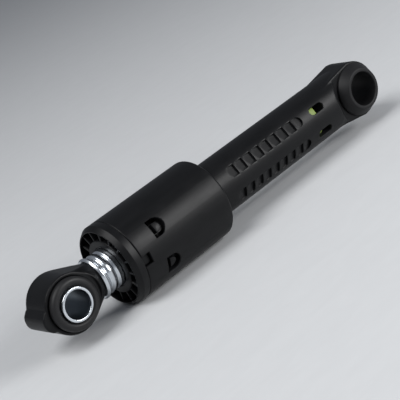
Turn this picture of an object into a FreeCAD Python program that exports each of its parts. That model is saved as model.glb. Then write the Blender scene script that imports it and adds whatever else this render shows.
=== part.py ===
import FreeCAD
import Part
import os
import re
import Sketcher
from FreeCAD import Placement, Rotation, Vector

# Friction damper of a washing machine's tub. A plated steel rod slides in a moulded housing and is gripped by
# two foam linings, whose carrier floats between two buffers. An eye at each end takes the machine's bolts.
# The origin is the centre of the housing eye's bore, +X runs to the rod eye, +Y along both bores, +Z is up.

SIZES = {
    # Fits: snug between pieces that stay together, run where one turns or slides, free where nothing touches
    "snug_gap": 0.05,
    "run_gap": 0.05,
    "free_gap": 0.4,
    "cut_past": 2.0,
    "overlap": 0.5,
    # Housing: slim tube, wide barrel and the eye at the tube's closed end
    "tube_length": 100.9,
    "tube_radius": 12.75,
    "tube_wall": 2.4,
    "barrel_length": 50.9,
    "barrel_radius": 19.0,
    "barrel_wall": 2.5,
    "barrel_floor": 3.0,
    "shoulder_round": 1.5,
    "housing_eye_wall": 2.9,
    "housing_eye_width": 14.6,
    "spot_margin": 2.5,
    "spot_draft": 23.0,
    "eye_web": 3.5,
    "housing_neck_run": 4.0,
    # Sawtooth pockets, windows and notches, in rows at one angle above and below each side
    "row_angle": 27.5,
    "cell_inset": 11.7,
    "cell_pitch": 5.54,
    "cell_count": 8,
    "cell_ramp": 5.1,
    "cell_width": 5.3,
    "cell_depth": 1.1,
    "window_inset": 6.9,
    "window_length": 8.9,
    "window_width": 3.6,
    "latch_inset": 10.8,
    "latch_length": 7.0,
    "latch_width": 8.1,
    "notch_length": 4.4,
    "notch_width": 4.7,
    # Bush of the housing eye
    "housing_bore": 8.0,
    "housing_bush_wall": 2.6,
    "housing_bush_out": 5.1,
    "housing_flange_out": 1.8,
    "housing_flange_edge": 1.0,
    "housing_rim_wall": 1.6,
    # End cap
    "cap_band": 5.6,
    "cap_chamfer": 1.0,
    "cap_rim_wall": 2.0,
    "cap_recess": 4.8,
    "cap_floor": 2.6,
    "hub_wall": 1.7,
    "hub_depth": 4.5,
    "hub_drop": 0.8,
    "skirt_wall": 1.85,
    "skirt_length": 8.8,
    "tongue_length": 10.0,
    "tongue_angle": 36.0,
    "nose_gap": 1.9,
    "nose_drop": 0.8,
    "key_gap": 0.2,
    "key_drop": 1.4,
    "rib_count": 16,
    "rib_width": 1.0,
    "rib_drop": 1.0,
    # Rings round the rod in the hub
    "guide_wall": 1.9,
    "guide_length": 6.0,
    "guide_stop": 1.0,
    "wiper_length": 3.0,
    # Friction carrier, linings and buffers
    "buffer_length": 3.5,
    "carrier_length": 26.0,
    "carrier_flange": 3.0,
    "lining_length": 10.0,
    "carrier_wall": 2.0,
    "lining_land": 2.0,
    "stop_pad_length": 2.5,
    # Rod and guide piston
    "rod_out": 8.0,
    "rod_radius": 9.0,
    "rod_wall": 1.2,
    "roll_depth": 0.8,
    "roll_half": 1.0,
    "roll_inset": 2.5,
    "roll_pitch": 3.5,
    "lip_rise": 0.7,
    "lip_length": 1.3,
    "piston_room": 8.9,
    "piston_head": 12.0,
    "piston_spigot": 11.0,
    "piston_core": 4.5,
    "piston_chamfer": 0.6,
    "snap_inset": 6.0,
    "snap_depth": 0.5,
    # Rod eye with its bush and sleeve
    "rod_eye_wall": 1.5,
    "rod_eye_width": 16.0,
    "shank_length": 20.0,
    "shank_chamfer": 0.8,
    "collar_length": 1.6,
    "neck_length": 4.7,
    "neck_drop": 0.9,
    "neck_slope": 0.25,
    "nose_out": 1.8,
    "nose_round": 6.0,
    "nose_top": 2.0,
    "nose_foot": 3.8,
    "nose_run": 1.8,
    "sleeve_bore": 6.0,
    "sleeve_wall": 1.2,
    "sleeve_out": 0.6,
    "sleeve_chamfer": 0.3,
    "rod_bush_wall": 2.0,
    "rod_bush_out": 3.4,
    "rod_flange_out": 1.9,
    "rod_flange_round": 1.8,
    "rod_flange_seat": 3.0,
}

# Places and radii that follow from the sizes
PLACES = {
    "tube_bore": "tube_radius - tube_wall",
    "housing_hole": "housing_bore + housing_bush_wall",
    "housing_rim": "housing_bore + housing_rim_wall",
    "housing_flange": "housing_hole + housing_flange_out",
    "housing_eye_radius": "housing_hole + housing_eye_wall",
    "housing_eye_half": "housing_eye_width / 2",
    "housing_bush_half": "housing_eye_half + housing_bush_out",
    "spot_radius": "housing_eye_radius + spot_margin",
    "housing_neck": "spot_radius + housing_neck_run",
    "neck_height": "sqrt(tube_radius ^ 2 - housing_eye_half ^ 2)",
    "bore_start": "spot_radius + eye_web",
    "pad_face": "bore_start + stop_pad_length",
    "window_start": "bore_start + window_inset",
    "window_end": "window_start + window_length",
    "cell_start": "window_end + cell_inset",
    "barrel_end": "tube_length + barrel_length",
    "barrel_bore": "barrel_radius - barrel_wall",
    "barrel_floor_face": "tube_length + barrel_floor",
    "latch_flat": "barrel_end - latch_inset",
    "cap_end": "barrel_end + cap_band",
    "cap_rim_bore": "barrel_radius - cap_rim_wall",
    "recess_face": "cap_end - cap_recess",
    "cap_inner_face": "recess_face - cap_floor",
    "skirt_radius": "barrel_bore - snug_gap",
    "skirt_bore": "skirt_radius - skirt_wall",
    "skirt_middle": "skirt_radius - skirt_wall / 2",
    "skirt_end": "barrel_end - skirt_length",
    "tongue_end": "skirt_end - tongue_length",
    "hub_bore": "rod_radius + guide_wall",
    "hub_radius": "hub_bore + hub_wall",
    "hub_inner": "cap_inner_face - hub_depth",
    "hub_outer": "cap_end - hub_drop",
    "guide_end": "hub_inner + guide_length",
    "wiper_start": "guide_end + guide_stop",
    "wiper_end": "wiper_start + wiper_length",
    "rod_clear": "rod_radius + free_gap",
    "rod_run": "rod_radius + run_gap",
    "rod_bore": "rod_radius - rod_wall",
    "buffer_inner_face": "barrel_floor_face + buffer_length",
    "buffer_outer_face": "hub_inner - buffer_length",
    "carrier_start": "(buffer_inner_face + buffer_outer_face - carrier_length) / 2",
    "carrier_end": "carrier_start + carrier_length",
    "carrier_radius": "skirt_bore - free_gap",
    "lining_radius": "carrier_radius - carrier_wall",
    "lining_inner_start": "carrier_start + lining_land",
    "lining_inner_end": "lining_inner_start + lining_length",
    "lining_outer_end": "carrier_end - lining_land",
    "lining_outer_start": "lining_outer_end - lining_length",
    "piston_radius": "tube_bore - run_gap",
    "piston_face": "pad_face + piston_room",
    "piston_end": "piston_face + piston_head",
    "spigot_radius": "rod_bore - run_gap",
    "spigot_end": "piston_end + piston_spigot",
    "rod_start": "piston_end + run_gap",
    "rod_end": "cap_end + rod_out",
    "lip_radius": "rod_radius + lip_rise",
    "snap_place": "rod_start + snap_inset",
    "roll_outer": "rod_end - roll_inset",
    "roll_inner": "roll_outer - roll_pitch",
    "shank_radius": "rod_bore - snug_gap",
    "shank_start": "rod_end - shank_length",
    "shank_waist": "rod_bore - roll_depth - snug_gap",
    "collar_end": "rod_end + collar_length",
    "neck_half": "lip_radius - neck_drop",
    "sleeve_radius": "sleeve_bore + sleeve_wall",
    "rod_hole": "sleeve_radius + rod_bush_wall",
    "rod_flange": "rod_hole + rod_flange_out",
    "rod_eye_radius": "rod_flange + rod_eye_wall",
    "eye_distance": "rod_end + neck_length + rod_eye_radius",
    "rod_eye_end": "eye_distance + rod_eye_radius",
    "nose_end": "rod_eye_end + nose_out",
    "rod_eye_half": "rod_eye_width / 2",
    "rod_seat": "rod_eye_half - rod_flange_seat",
    "rod_bush_half": "rod_eye_half + rod_bush_out",
    "sleeve_half": "rod_bush_half + sleeve_out",
}

doc = FreeCAD.newDocument("friction_damper")
sheet = doc.addObject("Spreadsheet::Sheet", "Sizes")
for row, (name, number) in enumerate(SIZES.items(), start=1):
    sheet.set(f"A{row}", name)
    sheet.set(f"B{row}", str(number))
    sheet.setAlias(f"B{row}", name)
doc.recompute()

bodies = []


def bind(text):
    """Spells out a derived place and points each size at its cell of the sheet."""
    def spell(word):
        name = word.group(0)
        if name in PLACES:
            return f"({bind(PLACES[name])})"
        return f"Sizes.{name}" if name in SIZES else name
    return re.sub(r"[a-z_]+", spell, text)


def size(text):
    return float(sheet.evalExpression(bind(text)))


def new_body(label):
    body = doc.addObject("PartDesign::Body", label)
    body.Label = label
    bodies.append(body)
    return body


def datum(body, role):
    return next(item for item in body.Origin.OriginFeatures if item.Role == role)


def arc(start, end, radius):
    """The short arc from start to end, anticlockwise for a positive radius."""
    chord = end - start
    rise = max(radius ** 2 - chord.Length ** 2 / 4, 0) ** 0.5
    side = Vector(-chord.y, chord.x).normalize() * (rise if radius > 0 else -rise)
    centre = (start + end) / 2 + side
    angles = []
    for point in (start, end) if radius > 0 else (end, start):
        angle = Vector(1, 0).getAngle(point - centre)
        angles.append(angle if point.y >= centre.y else -angle)
    return Part.ArcOfCircle(Part.Circle(centre, Vector(0, 0, 1), abs(radius)), *angles)


def sketch(body, name, plane, corners, turn="0", rise="0", shift="0"):
    """A closed outline through corners (x, y), or (x, y, radius) for an arc that leads to that corner.

    turn rolls the plane about X, rise lifts it along its normal and shift moves it along X.
    """
    drawing = body.newObject("Sketcher::SketchObject", name)
    drawing.AttachmentSupport = [(datum(body, plane), "")]
    drawing.MapMode = "FlatFace"
    drawing.AttachmentOffset = Placement(Vector(), Rotation(Vector(1, 0, 0), 1))
    drawing.setExpression("AttachmentOffset.Rotation.Angle", bind(turn))
    drawing.setExpression("AttachmentOffset.Base.x", bind(shift))
    drawing.setExpression("AttachmentOffset.Base.y", f"-sin({bind(turn)}) * ({bind(rise)})")
    drawing.setExpression("AttachmentOffset.Base.z", f"cos({bind(turn)}) * ({bind(rise)})")

    points = [Vector(size(corner[0]), size(corner[1])) for corner in corners]
    ends = []
    for index, corner in enumerate(corners):
        start, end = points[index - 1], points[index]
        if len(corner) == 2:
            drawing.addGeometry(Part.LineSegment(start, end))
            ends.append((1, 2))
        else:
            radius = size(corner[2])
            drawing.addGeometry(arc(start, end, radius))
            ends.append((1, 2) if radius > 0 else (2, 1))

    for index, corner in enumerate(corners):
        following = (index + 1) % len(corners)
        head = ends[index][1]
        drawing.addConstraint(Sketcher.Constraint("Coincident", index, head, following, ends[following][0]))
        for kind, text in zip(("DistanceX", "DistanceY"), corner):
            place = drawing.addConstraint(Sketcher.Constraint(kind, -1, 1, index, head, size(text)))
            drawing.setExpression(f"Constraints[{place}]", bind(text))
        if len(corner) == 3:
            place = drawing.addConstraint(Sketcher.Constraint("Radius", index, abs(size(corner[2]))))
            drawing.setExpression(f"Constraints[{place}]", f"abs({bind(corner[2])})")
    return drawing


def feature(body, kind, profile, **settings):
    """Adds a feature on a sketch. A setting given as text is bound to the sheet."""
    item = body.newObject(f"PartDesign::{kind}", f"{profile.Name}_{kind}")
    item.Profile = profile
    for key, value in settings.items():
        if isinstance(value, str) and key != "SideType":
            item.setExpression(key, bind(value))
        else:
            setattr(item, key, value)
    return item


def turned(body, kind, profile, axis="H_Axis", **settings):
    """A Revolution or Groove about the sketch's own H_Axis (along X) or V_Axis (along Y)."""
    settings.setdefault("Angle", "360")
    return feature(body, kind, profile, ReferenceAxis=(profile, [axis]), **settings)


def outward(body, kind, profile, length):
    """A Pocket or Pad that leaves its sketch away from the damper's axis."""
    return feature(body, kind, profile, Length=length, Reversed=(kind == "Pocket"))


def multiply(body, name, originals, *steps):
    """Repeats features by steps.

    A step is ("Mirrored", plane), ("LinearPattern", count, length) or ("PolarPattern", count).
    """
    group = body.newObject("PartDesign::MultiTransform", name)
    group.Originals = originals
    moves = []
    for number, (kind, *values) in enumerate(steps):
        move = body.newObject(f"PartDesign::{kind}", f"{name}_{kind}_{number}")
        if kind == "Mirrored":
            move.MirrorPlane = (datum(body, values[0]), [""])
        elif kind == "LinearPattern":
            move.Direction = (datum(body, "X_Axis"), [""])
            move.setExpression("Occurrences", bind(values[0]))
            move.setExpression("Length", bind(values[1]))
        else:
            move.Axis = (datum(body, "X_Axis"), [""])
            move.Angle = 360
            move.setExpression("Occurrences", bind(values[0]))
        moves.append(move)
    group.Transformations = moves
    body.Tip = group
    return group


def stadium(start, end, width):
    half = f"{width} / 2"
    return [(f"{end} - {half}", f"-{half}"), (end, "0", half), (f"{end} - {half}", half, half),
            (f"{start} + {half}", half), (start, "0", half), (f"{start} + {half}", f"-{half}", half)]


def latch_shape(gap):
    """The D of a latch, flat towards the cap and round towards the tube, drawn in by a gap all round."""
    half = f"(latch_width / 2 - {gap})"
    flat = f"latch_flat - {gap}"
    apex = f"latch_flat - latch_length + {gap}"
    return [(f"{apex} + {half}", f"-{half}", half), (flat, f"-{half}"), (flat, half),
            (f"{apex} + {half}", half), (apex, "0", half)]


def make_ring(label, start, end, inside, outside):
    """A plain ring about the damper's axis."""
    body = new_body(label)
    section = sketch(body, f"{label}_section", "XY_Plane",
                     [(start, inside), (end, inside), (end, outside), (start, outside)])
    turned(body, "Revolution", section)
    return body


ACROSS = "Symmetric"
RADIAL_TURN = "row_angle - 90"
EACH_SIDE = (("Mirrored", "XY_Plane"), ("Mirrored", "XZ_Plane"))


def make_housing():
    body = new_body("housing")
    outside = sketch(body, "housing_outside", "XY_Plane", [
        ("0", "0"), ("0", "tube_radius"), ("tube_length", "tube_radius"),
        ("tube_length", "barrel_radius - shoulder_round"),
        ("tube_length + shoulder_round", "barrel_radius", "-shoulder_round"),
        ("barrel_end", "barrel_radius"), ("barrel_end", "0")])
    turned(body, "Revolution", outside)

    slab = sketch(body, "housing_eye_slab", "XZ_Plane", [
        ("housing_neck", "-neck_height"), ("housing_neck", "neck_height"), ("0", "housing_eye_radius"),
        ("-housing_eye_radius", "0", "housing_eye_radius"),
        ("0", "-housing_eye_radius", "housing_eye_radius")])
    feature(body, "Pad", slab, Length="housing_eye_width", SideType=ACROSS)

    # Bush hole, with a drafted face on each side where the tube is cut back for the machine's bracket
    reach = "housing_eye_half + tube_radius"
    mouth = "spot_radius + tube_radius * tan(spot_draft)"
    eye_cut = sketch(body, "housing_eye_cut", "XY_Plane", [
        ("0", f"-({reach})"), (mouth, f"-({reach})"), ("spot_radius", "-housing_eye_half"),
        ("housing_hole", "-housing_eye_half"), ("housing_hole", "housing_eye_half"),
        ("spot_radius", "housing_eye_half"), (mouth, reach), ("0", reach)])
    turned(body, "Groove", eye_cut, axis="V_Axis")

    cavity = sketch(body, "housing_cavity", "XY_Plane", [
        ("bore_start", "0"), ("bore_start", "tube_bore"), ("barrel_floor_face", "tube_bore"),
        ("barrel_floor_face", "barrel_bore"), ("barrel_end + cut_past", "barrel_bore"),
        ("barrel_end + cut_past", "0")])
    turned(body, "Groove", cavity)

    # Sawtooth cells: each floor is flush towards the barrel and ends in a step towards the eye
    ramp = sketch(body, "cell_ramp_side", "XY_Plane", [
        ("cell_start", "tube_radius - cell_depth"), ("cell_start + cell_ramp", "tube_radius"),
        ("cell_start + cell_ramp", "tube_radius + cut_past"), ("cell_start", "tube_radius + cut_past")],
        turn="row_angle")
    cell = feature(body, "Pocket", ramp, Length="cell_width", SideType=ACROSS)
    row = ("LinearPattern", "cell_count", "cell_pitch * (cell_count - 1)")
    multiply(body, "cell_rows", [cell], row, *EACH_SIDE)

    # The row ends in a round cell, then comes the window where the guide piston shows
    last = "cell_start - cell_pitch"
    end_cell = sketch(body, "end_cell_outline", "XY_Plane",
                      stadium(last, f"{last} + cell_ramp + cell_width / 2", "cell_width"),
                      turn=RADIAL_TURN, rise="tube_radius - cell_depth / 2")
    window = sketch(body, "window_outline", "XY_Plane",
                    stadium("window_start", "window_end", "window_width"), turn=RADIAL_TURN)
    latch = sketch(body, "latch_outline", "XY_Plane", latch_shape("0"), turn=RADIAL_TURN)
    openings = [outward(body, "Pocket", end_cell, "cell_depth + cut_past"),
                outward(body, "Pocket", window, "tube_radius + cut_past"),
                outward(body, "Pocket", latch, "barrel_radius + cut_past")]
    multiply(body, "openings", openings, *EACH_SIDE)

    notch = sketch(body, "notch_outline", "XY_Plane", [
        ("barrel_end - notch_length", "-notch_width / 2"), ("barrel_end + cut_past", "-notch_width / 2"),
        ("barrel_end + cut_past", "notch_width / 2"), ("barrel_end - notch_length", "notch_width / 2")],
        turn="-90")
    notches = outward(body, "Pocket", notch, "barrel_radius + cut_past")
    multiply(body, "notches", [notches], ("Mirrored", "XZ_Plane"))


def make_housing_bush():
    body = new_body("housing_bush")
    edge = "housing_eye_half + housing_flange_edge"
    section = sketch(body, "housing_bush_section", "XY_Plane", [
        ("housing_bore", "-housing_bush_half"), ("housing_rim", "-housing_bush_half"),
        ("housing_flange", f"-({edge})"), ("housing_flange", "-housing_eye_half"),
        ("housing_hole - snug_gap", "-housing_eye_half"), ("housing_hole - snug_gap", "housing_eye_half"),
        ("housing_flange", "housing_eye_half"), ("housing_flange", edge),
        ("housing_rim", "housing_bush_half"), ("housing_bore", "housing_bush_half")])
    turned(body, "Revolution", section, axis="V_Axis")


def make_end_cap():
    body = new_body("end_cap")
    section = sketch(body, "cap_section", "XY_Plane", [
        ("hub_inner", "hub_bore"), ("guide_end", "hub_bore"), ("guide_end", "rod_clear"),
        ("wiper_start", "rod_clear"), ("wiper_start", "hub_bore"), ("wiper_end", "hub_bore"),
        ("wiper_end", "rod_clear"), ("hub_outer", "rod_clear"), ("hub_outer", "hub_radius"),
        ("recess_face", "hub_radius"), ("recess_face", "cap_rim_bore"), ("cap_end", "cap_rim_bore"),
        ("cap_end", "barrel_radius - cap_chamfer"), ("cap_end - cap_chamfer", "barrel_radius"),
        ("barrel_end", "barrel_radius"), ("barrel_end", "skirt_radius"), ("skirt_end", "skirt_radius"),
        ("skirt_end", "skirt_bore"), ("cap_inner_face", "skirt_bore"), ("cap_inner_face", "hub_radius"),
        ("hub_inner", "hub_radius")])
    turned(body, "Revolution", section)

    rib = sketch(body, "rib_side", "XY_Plane", [
        ("recess_face - overlap", "hub_radius - overlap"), ("cap_end - rib_drop", "hub_radius - overlap"),
        ("cap_end - rib_drop", "cap_rim_bore + overlap"),
        ("recess_face - overlap", "cap_rim_bore + overlap")], turn="180 / rib_count")
    ribs = feature(body, "Pad", rib, Length="rib_width", SideType=ACROSS)
    multiply(body, "ribs", [ribs], ("PolarPattern", "rib_count"))

    # Four springy tongues behind the skirt, each with a nose that snaps into a latch window
    tongue = sketch(body, "tongue_section", "XY_Plane", [
        ("tongue_end", "skirt_bore"), ("skirt_end + overlap", "skirt_bore"),
        ("skirt_end + overlap", "skirt_radius"), ("tongue_end", "skirt_radius")], turn="row_angle")
    nose = sketch(body, "nose_outline", "XY_Plane", latch_shape("nose_gap"),
                  turn=RADIAL_TURN, rise="skirt_middle")
    latches = [turned(body, "Revolution", tongue, Angle="tongue_angle", Midplane=True),
               outward(body, "Pad", nose, "barrel_radius - nose_drop - skirt_middle")]
    multiply(body, "latches", latches, *EACH_SIDE)

    key_half = "(notch_width / 2 - key_gap)"
    key_start = "barrel_end - notch_length + key_gap"
    key = sketch(body, "key_outline", "XY_Plane", [
        (key_start, f"-{key_half}"), ("barrel_end + overlap", f"-{key_half}"),
        ("barrel_end + overlap", key_half), (key_start, key_half)], turn="-90", rise="skirt_middle")
    keys = outward(body, "Pad", key, "barrel_radius - key_drop - skirt_middle")
    multiply(body, "keys", [keys], ("Mirrored", "XZ_Plane"))


def make_carrier_half(label, below):
    body = new_body(label)
    section = sketch(body, f"{label}_section", "XY_Plane", [
        ("carrier_start", "rod_clear"), ("lining_inner_start", "rod_clear"),
        ("lining_inner_start", "lining_radius"), ("lining_inner_end", "lining_radius"),
        ("lining_inner_end", "rod_clear"), ("lining_outer_start", "rod_clear"),
        ("lining_outer_start", "lining_radius"), ("lining_outer_end", "lining_radius"),
        ("lining_outer_end", "rod_clear"), ("carrier_end", "rod_clear"), ("carrier_end", "carrier_radius"),
        ("carrier_start + carrier_flange", "carrier_radius"),
        ("carrier_start + carrier_flange", "barrel_bore - free_gap"),
        ("carrier_start", "barrel_bore - free_gap")])
    turned(body, "Revolution", section, Angle="180", Reversed=below)


def rolled_groove(place, depth, outside):
    """The arc of a groove rolled into the rod tube, drawn along +X outside and back along -X inside."""
    radius = f"((roll_half ^ 2 + {depth} ^ 2) / (2 * {depth}))"
    if outside:
        return [(f"{place} - roll_half", "rod_radius"), (f"{place} + roll_half", "rod_radius", radius)]
    inner = f"({radius} + rod_wall)"
    half = f"sqrt({inner} ^ 2 - ({inner} - {depth}) ^ 2)"
    return [(f"{place} + {half}", "rod_bore"), (f"{place} - {half}", "rod_bore", f"-{inner}")]


def make_rod_tube():
    body = new_body("rod_tube")
    grooves = [("snap_place", "snap_depth"), ("roll_inner", "roll_depth"), ("roll_outer", "roll_depth")]
    corners = [("rod_start", "rod_bore"), ("rod_start", "rod_radius")]
    for place, depth in grooves:
        corners += rolled_groove(place, depth, outside=True)
    lip = "lip_radius - rod_radius"
    corners += [("rod_end - lip_length", "rod_radius"), (f"rod_end - lip_length + {lip}", "lip_radius", lip),
                ("rod_end", "lip_radius"), ("rod_end", "rod_bore")]
    for place, depth in reversed(grooves):
        corners += rolled_groove(place, depth, outside=False)
    turned(body, "Revolution", sketch(body, "rod_tube_section", "XY_Plane", corners))


def make_guide_piston():
    body = new_body("guide_piston")
    waist = "rod_bore - snap_depth - free_gap"
    section = sketch(body, "piston_section", "XY_Plane", [
        ("piston_face", "piston_core"), ("spigot_end", "piston_core"),
        ("spigot_end", "spigot_radius - piston_chamfer"), ("spigot_end - piston_chamfer", "spigot_radius"),
        ("snap_place + 2 * roll_half", "spigot_radius"),
        ("snap_place + 2 * roll_half", waist), ("snap_place - 2 * roll_half", waist),
        ("snap_place - 2 * roll_half", "spigot_radius"), ("piston_end", "spigot_radius"),
        ("piston_end", "piston_radius"), ("piston_face + piston_chamfer", "piston_radius"),
        ("piston_face", "piston_radius - piston_chamfer")])
    turned(body, "Revolution", section)


def make_rod_eye():
    body = new_body("rod_eye")
    shank = sketch(body, "shank_section", "XY_Plane", [
        ("shank_start", "0"), ("shank_start", "shank_radius - shank_chamfer"),
        ("shank_start + shank_chamfer", "shank_radius"), ("roll_inner - 2 * roll_half", "shank_radius"),
        ("roll_inner - 2 * roll_half", "shank_waist"), ("roll_outer + 2 * roll_half", "shank_waist"),
        ("roll_outer + 2 * roll_half", "shank_radius"), ("rod_end", "shank_radius"),
        ("rod_end", "lip_radius"), ("collar_end", "lip_radius"), ("collar_end", "0")])
    turned(body, "Revolution", shank)

    slab = sketch(body, "rod_eye_slab", "XZ_Plane", [
        ("rod_end", "-neck_half"), ("eye_distance", "-rod_eye_radius"),
        ("rod_eye_end", "0", "rod_eye_radius"), ("eye_distance", "rod_eye_radius", "rod_eye_radius"),
        ("rod_end", "neck_half")])
    feature(body, "Pad", slab, Length="rod_eye_width", SideType=ACROSS)

    # Small boss on the eye's nose
    boss = sketch(body, "nose_boss", "XZ_Plane", [
        ("eye_distance + rod_hole", "-(nose_foot + nose_run)"),
        ("rod_eye_end", "-(nose_foot + nose_run)"), ("nose_end", "-nose_foot"),
        ("nose_end", "nose_top", "nose_round"), ("rod_eye_end", "nose_top + nose_run"),
        ("eye_distance + rod_hole", "nose_top + nose_run")])
    feature(body, "Pad", boss, Length="rod_eye_width", SideType=ACROSS)

    # The neck is turned to a slim cone, so that the slab's corners grow out of the collar
    flare = "lip_radius + neck_slope * (nose_end - rod_end)"
    cone = sketch(body, "neck_cone", "XY_Plane", [
        ("rod_end", "lip_radius"), ("nose_end", flare), ("nose_end", "2 * barrel_radius"),
        ("rod_end", "2 * barrel_radius")])
    turned(body, "Groove", cone)

    reach = "(rod_eye_half + cut_past)"
    seat_radius = "rod_flange + snug_gap"
    hole = sketch(body, "rod_eye_hole", "XY_Plane", [
        ("0", f"-{reach}"), (seat_radius, f"-{reach}"), (seat_radius, "-rod_seat"), ("rod_hole", "-rod_seat"),
        ("rod_hole", "rod_seat"), (seat_radius, "rod_seat"), (seat_radius, reach), ("0", reach)],
        shift="eye_distance")
    turned(body, "Groove", hole, axis="V_Axis")


def make_rod_bush():
    body = new_body("rod_bush")
    face = "rod_flange - rod_flange_round"
    edge = "(rod_bush_half - rod_flange_round)"
    section = sketch(body, "rod_bush_section", "XY_Plane", [
        ("sleeve_radius", "-rod_bush_half"), (face, "-rod_bush_half"),
        ("rod_flange", f"-{edge}", "rod_flange_round"), ("rod_flange", "-rod_seat"),
        ("rod_hole - snug_gap", "-rod_seat"), ("rod_hole - snug_gap", "rod_seat"), ("rod_flange", "rod_seat"),
        ("rod_flange", edge), (face, "rod_bush_half", "rod_flange_round"),
        ("sleeve_radius", "rod_bush_half")], shift="eye_distance")
    turned(body, "Revolution", section, axis="V_Axis")


def make_rod_sleeve():
    body = new_body("rod_sleeve")
    edge = "(sleeve_half - sleeve_chamfer)"
    outside = "sleeve_radius - snug_gap"
    section = sketch(body, "rod_sleeve_section", "XY_Plane", [
        ("sleeve_bore", "-sleeve_half"), (f"{outside} - sleeve_chamfer", "-sleeve_half"),
        (outside, f"-{edge}"), (outside, edge),
        (f"{outside} - sleeve_chamfer", "sleeve_half"), ("sleeve_bore", "sleeve_half")], shift="eye_distance")
    turned(body, "Revolution", section, axis="V_Axis")


make_housing()
make_housing_bush()
make_end_cap()
make_ring("guide_ring", "hub_inner", "guide_end", "rod_run", "hub_bore - snug_gap")
make_ring("wiper_ring", "wiper_start", "wiper_end", "rod_run", "hub_bore - snug_gap")
make_ring("stop_pad", "bore_start", "pad_face", "piston_core", "tube_bore - free_gap")
make_ring("buffer_inner", "barrel_floor_face", "buffer_inner_face", "tube_bore + free_gap",
          "barrel_bore - free_gap")
make_ring("buffer_outer", "buffer_outer_face", "hub_inner", "rod_clear", "skirt_bore - free_gap")
make_carrier_half("carrier_upper", below=False)
make_carrier_half("carrier_lower", below=True)
make_ring("lining_inner", "lining_inner_start", "lining_inner_end", "rod_run", "lining_radius - snug_gap")
make_ring("lining_outer", "lining_outer_start", "lining_outer_end", "rod_run", "lining_radius - snug_gap")
make_guide_piston()
make_rod_tube()
make_rod_eye()
make_rod_bush()
make_rod_sleeve()
doc.recompute()

for item in doc.Objects:
    if {"Invalid", "Error"} & set(item.State):
        raise RuntimeError(f"{item.Label} failed: {item.State} {item.getStatusString()}")
    if item.TypeId in ("PartDesign::Pocket", "PartDesign::Groove") and item.BaseFeature:
        if item.Shape.Volume >= item.BaseFeature.Shape.Volume:
            raise RuntimeError(f"{item.Label} cuts nothing")

os.makedirs("parts", exist_ok=True)
for body in bodies:
    if body.Shape.isNull() or not body.Shape.isValid():
        raise RuntimeError(f"{body.Label} has no valid shape")
    print(body.Label, "solids", len(body.Shape.Solids), "volume", round(body.Shape.Volume, 1))
for body in bodies:
    body.Shape.exportStep(f"parts/{body.Label}.step")
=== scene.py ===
import math

import bmesh
import bpy
from mathutils import Matrix, Vector


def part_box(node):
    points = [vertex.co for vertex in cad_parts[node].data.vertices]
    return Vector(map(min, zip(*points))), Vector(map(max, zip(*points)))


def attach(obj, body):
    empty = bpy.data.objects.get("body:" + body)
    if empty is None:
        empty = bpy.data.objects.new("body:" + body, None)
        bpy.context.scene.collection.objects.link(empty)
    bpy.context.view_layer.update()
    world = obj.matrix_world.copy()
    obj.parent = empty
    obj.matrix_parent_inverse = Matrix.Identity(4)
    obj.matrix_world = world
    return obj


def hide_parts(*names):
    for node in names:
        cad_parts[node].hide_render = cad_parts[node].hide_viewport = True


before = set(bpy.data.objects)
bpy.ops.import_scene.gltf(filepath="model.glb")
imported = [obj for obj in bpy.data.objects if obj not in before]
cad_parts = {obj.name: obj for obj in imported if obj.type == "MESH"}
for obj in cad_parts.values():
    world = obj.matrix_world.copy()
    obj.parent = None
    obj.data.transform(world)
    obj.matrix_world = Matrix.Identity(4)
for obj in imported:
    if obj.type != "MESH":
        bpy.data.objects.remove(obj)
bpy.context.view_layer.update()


# Housing: one black moulding of glass-filled plastic. A wide barrel holds the friction carrier, a slim tube
# guides the piston, and the flat eye at the closed end is bolted to the machine. Rows of sawtooth pockets
# save material along the tube, and D windows in the barrel take the latches of the end cap.
MM = 0.001
TOUCHING = 0.001 * MM
OVERLAP = 1 * MM
HOUSING_LOW, HOUSING_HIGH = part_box("housing")
BARREL_RADIUS = HOUSING_HIGH.z
BARREL_END = HOUSING_HIGH.x
BARREL_START = 100.9 * MM
BARREL_FLOOR = 103.9 * MM
BARREL_BORE = 16.5 * MM
TUBE_RADIUS = 12.75 * MM
TUBE_BORE = 10.35 * MM
BORE_START = 19.5 * MM
EYE_RADIUS = -HOUSING_LOW.x
EYE_HALF = 7.3 * MM
EYE_HOLE = 10.6 * MM
SPOT_RADIUS = 16.0 * MM
SPOT_DRAFT = math.radians(23)
NECK = 20.0 * MM
ROW_ANGLE = math.radians(27.5)
ROW_COUNT = 4
CELL_START = 47.0 * MM
CELL_PITCH = 5.54 * MM
CELL_COUNT = 8
CELL_RAMP = 5.1 * MM
CELL_WIDTH = 5.3 * MM
CELL_DEPTH = 1.1 * MM
WINDOW = (26.4 * MM, 35.3 * MM)
WINDOW_WIDTH = 3.6 * MM
LATCH_FLAT = 141.0 * MM
LATCH_APEX = 134.0 * MM
LATCH_WIDTH = 8.1 * MM
NOTCH_START = 147.4 * MM
NOTCH_WIDTH = 4.7 * MM
JOINT_ROUND = 0.5 * MM
SHOULDER_ROUND = 1.5 * MM
SHOULDER_FILLET = 0.6 * MM
BORE_EDGE = 0.3 * MM


def rounded(corners, steps=4):
    """Points of a closed outline. A corner (a, b, radius) becomes an arc tangent to both its sides."""
    points = []
    for index, corner in enumerate(corners):
        here = Vector(corner[:2])
        if len(corner) == 2:
            points.append(here)
            continue
        before = (Vector(corners[index - 1][:2]) - here).normalized()
        after = (Vector(corners[(index + 1) % len(corners)][:2]) - here).normalized()
        half = before.angle(after) / 2
        reach = corner[2] / math.tan(half)
        centre = here + (before + after).normalized() * corner[2] / math.sin(half)
        first = here + before * reach - centre
        last = here + after * reach - centre
        sweep = first.angle_signed(last)
        for step in range(steps + 1):
            points.append(centre + Matrix.Rotation(-sweep * step / steps, 2) @ first)
    return points


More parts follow.
